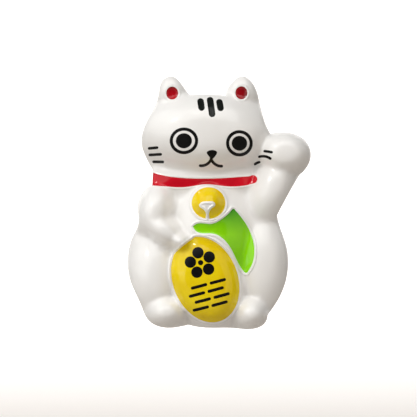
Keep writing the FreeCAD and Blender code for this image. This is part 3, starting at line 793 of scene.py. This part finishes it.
MATERIALS = {
    "white_enamel": white_enamel(),
    "ear_red": colour_enamel("ear_red", (0.13, 0.0005, 0.002), (0.42, 0.002, 0.008)),
    "black_enamel": colour_enamel("black_enamel", (0.006, 0.007, 0.006), (0.014, 0.016, 0.014),
                                  specular=0.15, coat=0.03),
    "collar_red": colour_enamel("collar_red", (0.46, 0.001, 0.010), (0.66, 0.006, 0.020)),
    "bell_yellow": colour_enamel("bell_yellow", (0.78, 0.54, 0.001), (0.86, 0.68, 0.003)),
    "bib_green": green_enamel(),
    "coin_yellow": colour_enamel("coin_yellow", (0.74, 0.52, 0.002), (0.84, 0.66, 0.004)),
    "black_ink": black_ink(),
    "post_steel": bright_metal("post_steel", (0.62, 0.61, 0.59), (0.74, 0.73, 0.71),
                               rough=(0.18, 0.30), stretch=(1, 14, 1)),
    "solder": bright_metal("solder", (0.40, 0.40, 0.39), (0.52, 0.52, 0.50),
                           rough=(0.38, 0.55), grain=0.00001),
    "clutch_brass": bright_metal("clutch_brass", (0.78, 0.60, 0.27), (0.84, 0.66, 0.32),
                                 rough=(0.20, 0.30)),
    "wing_brass": bright_metal("wing_brass", (0.76, 0.57, 0.25), (0.82, 0.63, 0.29),
                               rough=(0.24, 0.34), stretch=(1, 1, 16)),
}


def finish_piece(piece, node):
    """Gives a piece or a carried-over node the material of its node's slot in the record."""
    slot = SLOT_OF[node]
    piece.data.materials.clear()
    piece.data.materials.append(MATERIALS[slot])


def dress_hardware():
    """Gives the frame's own post, solder and clutch their metals and a rounded edge."""
    for node in HARDWARE:
        part = frame["nodes"][node]
        for slot in part.material_slots:
            slot.material = MATERIALS[SLOT_OF[node]]
        bevel = part.modifiers.new("edge", "BEVEL")
        bevel.width = HARDWARE_BEVEL * MM
        bevel.segments = BEVEL_SEGMENTS
        bevel.limit_method = "ANGLE"
        bevel.angle_limit = math.radians(BEVEL_TURN)
        bevel.harden_normals = True


# The room, in metres

LIGHT_REACH = 0.45
POWER = math.pi ** 2 / 4            # watts to the square metre of a softbox of brightness 1
WORLD_COLOUR = (0.95, 0.97, 1.0, 1)
WORLD_STRENGTH = 0.10
SOFTBOXES = {
    "key": dict(heading=(-0.70, -0.50, 0.50), size=0.60, brightness=1.72, colour=(1.0, 0.995, 0.975)),
    "spark": dict(heading=(-0.60, -0.65, 0.60), size=0.05, brightness=60.0),
    "top": dict(heading=(0.15, -0.60, 0.80), size=0.38, brightness=2.6),
    "left": dict(heading=(-0.70, -0.65, -0.35), size=0.35, brightness=1.5),
    "right": dict(heading=(0.75, -0.70, 0.15), size=0.35, brightness=1.0, colour=(1.0, 0.90, 0.78)),
}

STAGE_REACH = 0.30
FLOOR_DROP = 0.050
FLOOR_COLOUR = (0.50, 0.46, 0.42, 1)
WALL_AWAY = 0.25
WALL_GLOW = 1.0
SWEEP = 0.035
SWEEP_STEPS = 12

LENS = 180              # lens and sensor in millimetres
SENSOR = 36
CLIP_START = 0.001
VIEW_WIDTH = 0.04096    # what the picture spans at the point that the camera is aimed at
AIM = (-0.00015, -0.0035, -0.00182)


def softbox(name, heading, size, brightness, colour=(1, 1, 1)):
    """A square light of the given brightness, out in one direction from the badge."""
    data = bpy.data.lights.new(name, "AREA")
    data.shape = "RECTANGLE"
    data.size = size
    data.size_y = size
    data.energy = brightness * POWER * size ** 2
    data.color = colour
    lamp = bpy.data.objects.new(name, data)
    lamp.location = Vector(heading).normalized() * LIGHT_REACH
    lamp.rotation_euler = (-lamp.location).to_track_quat("-Z", "Y").to_euler()
    bpy.context.scene.collection.objects.link(lamp)


def make_stage(low, high):
    """A pale floor that sweeps up into a backdrop, which glows white behind the badge."""
    floor = low.z - FLOOR_DROP
    wall = high.y + WALL_AWAY
    profile = [(-STAGE_REACH, floor), (wall - SWEEP, floor)]
    for step in range(1, SWEEP_STEPS):
        angle = step / SWEEP_STEPS * math.pi / 2
        profile.append((wall - SWEEP + SWEEP * math.sin(angle), floor + SWEEP * (1 - math.cos(angle))))
    profile += [(wall, floor + SWEEP), (wall, STAGE_REACH)]
    corners = [(x, y, z) for y, z in profile for x in (-STAGE_REACH, STAGE_REACH)]
    faces = [(2 * i, 2 * i + 1, 2 * i + 3, 2 * i + 2) for i in range(len(profile) - 1)]
    mesh = bpy.data.meshes.new("backdrop")
    mesh.from_pydata(corners, [], faces)
    mesh.shade_smooth()
    stage = bpy.data.objects.new("backdrop", mesh)
    bpy.context.scene.collection.objects.link(stage)
    m = Nodes("backdrop")
    m.set(Base_Color=FLOOR_COLOUR, Roughness=1.0, Emission_Color=(1, 1, 1, 1))
    glow = m.spread(m.axis("Z"), 0.0, WALL_GLOW, floor, floor + SWEEP)
    m.link(glow, m.shader.inputs["Emission Strength"])
    stage.data.materials.append(m.material)


def make_camera():
    """Square on to the badge's front, with a long lens."""
    data = bpy.data.cameras.new("camera")
    data.lens = LENS
    data.sensor_width = SENSOR
    data.clip_start = CLIP_START
    camera = bpy.data.objects.new("camera", data)
    camera.location = (AIM[0], AIM[1] - VIEW_WIDTH * LENS / SENSOR, AIM[2])
    camera.rotation_euler = (math.radians(90), 0, 0)
    bpy.context.scene.collection.objects.link(camera)
    bpy.context.scene.camera = camera


def make_lights():
    """Softboxes above and beside, none behind the camera, so that glossy faces mirror little."""
    world = bpy.data.worlds.new("studio")
    bpy.context.scene.world = world
    world.use_nodes = True
    background = world.node_tree.nodes["Background"]
    background.inputs["Color"].default_value = WORLD_COLOUR
    background.inputs["Strength"].default_value = WORLD_STRENGTH
    for name, facts in SOFTBOXES.items():
        softbox(name, **facts)
    bpy.context.scene.view_settings.view_transform = "Standard"


# The badge

SLOT_OF = {part["node"]: part["material_slot"] for part in frame["record"]["subparts"]}
SILHOUETTE = smooth_loop(max(outlines_of("body_casting"), key=lambda loop: abs(signed_area(loop))),
                         OUTLINE_STEP)
CELLS = {enamel: cell_outlines(enamel) for enamel in ENAMELS}
RELIEF = relief_map()

finish_piece(make_casting(), "body_casting")
for enamel in ENAMELS:
    finish_piece(make_enamel(enamel), enamel)
for node in FACE_PRINTS:
    finish_piece(make_print(node, lambda p: coat_height(p, edge_drop(p))), node)
finish_piece(make_print(COIN_PRINT, lambda p: enamel_height("coin_enamel", p)), COIN_PRINT)
dress_hardware()
make_stage(*cad_box)
make_camera()
make_lights()
